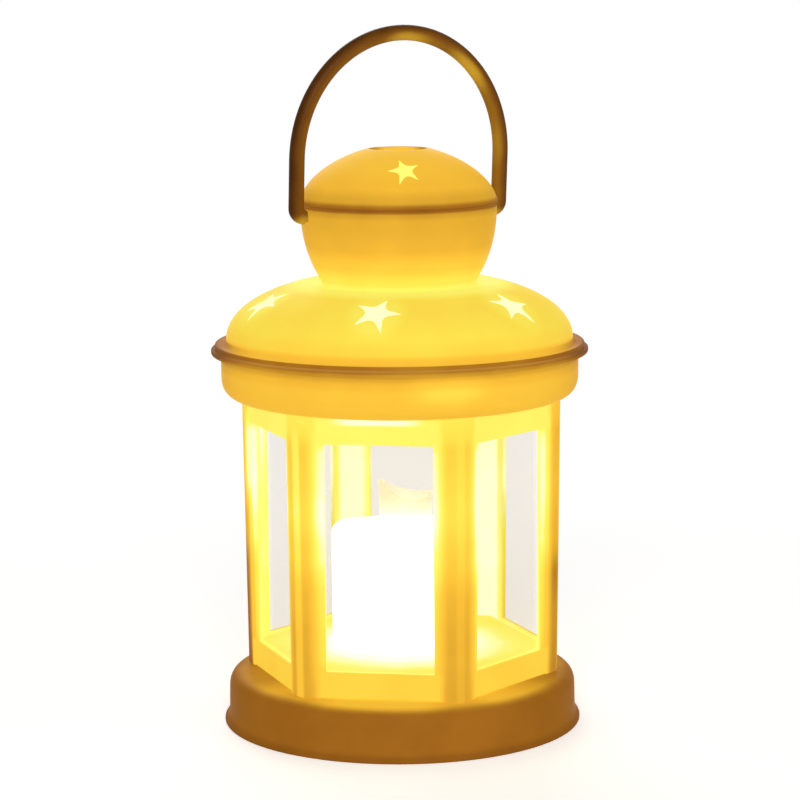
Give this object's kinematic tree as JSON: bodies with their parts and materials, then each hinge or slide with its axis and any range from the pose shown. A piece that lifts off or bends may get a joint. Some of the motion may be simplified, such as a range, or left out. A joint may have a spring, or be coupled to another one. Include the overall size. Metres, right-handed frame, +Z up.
{
  "type": "decorative led lantern",
  "caption": "Lantern with a six-sided windowed body, a domed roof with star cut-outs, a hinged bail and a battery LED candle inside, on a round base with a battery door and switch.",
  "frame": {"origin": "middle of the face that the lantern stands on", "axes": "+Z up; the bail turns about an axis along X, and +Y is the side away from which it leans at rest"},
  "size_m": [0.1, 0.1, 0.1856],
  "materials": {
    "base": "bronze-gold painted plastic, satin",
    "bail": "dark bronze painted plastic, satin",
    "body": "gold translucent plastic lit from inside, satin",
    "pane": "clear plastic sheet",
    "candle": "milky wax-like plastic, glowing",
    "flame": "translucent cream plastic, glowing",
    "lamp": "clear epoxy lens, lit",
    "white": "moulded white plastic",
    "steel": "nickel plated",
    "cell": "plain dark sleeve",
    "board": "green circuit board",
    "black": "moulded black plastic",
    "wire_red": "red insulation",
    "wire_black": "black insulation"
  },
  "bodies": {
    "lantern": {"base_plate": "base", "base_screw_1": "steel", "base_screw_2": "steel", "base_screw_3": "steel", "base_shell": "base", "battery_1": "cell", "battery_2": "cell", "battery_3": "cell", "battery_spring_1": "steel", "battery_spring_2": "steel", "battery_spring_3": "steel", "battery_wire_negative": "wire_black", "battery_wire_positive": "wire_red", "body_frame": "body", "bridge_plate_back": "steel", "bridge_plate_front": "steel", "candle_shell": "candle", "candle_tray": "body", "cap": "body", "circuit_board": "board", "flame_diffuser": "flame", "flicker_chip": "black", "lamp_post": "white", "lamp_wire_negative": "wire_black", "lamp_wire_positive": "wire_red", "led_lamp": "lamp", "resistor": "black", "roof": "body", "switch_housing": "steel", "switch_wire_1": "wire_black", "switch_wire_2": "wire_black", "terminal_plate_negative": "steel", "terminal_plate_positive": "steel", "upper_band": "body", "window_pane_1": "pane", "window_pane_2": "pane", "window_pane_3": "pane", "window_pane_4": "pane", "window_pane_5": "pane", "window_pane_6": "pane"},
    "bail": {"bail": "bail"},
    "battery_door": {"battery_door": "base", "door_screw": "steel"},
    "switch_knob": {"switch_knob": "black"}
  },
  "joints": [
    {"name": "bail_hinge", "type": "hinge", "parent": "lantern", "child": "bail", "pos_m": [0, 0, 0.1364], "axis": [1, 0, 0], "range_deg": [-116, 106]},
    {"name": "switch_slide", "type": "slide", "parent": "lantern", "child": "switch_knob", "axis": [1, 0, 0], "range_m": [0, 0.002]},
    {"name": "door_hinge", "type": "hinge", "parent": "lantern", "child": "battery_door", "pos_m": [0, -0.027, 0.001], "axis": [1, 0, 0], "range_deg": [-60, 0]}
  ]
}
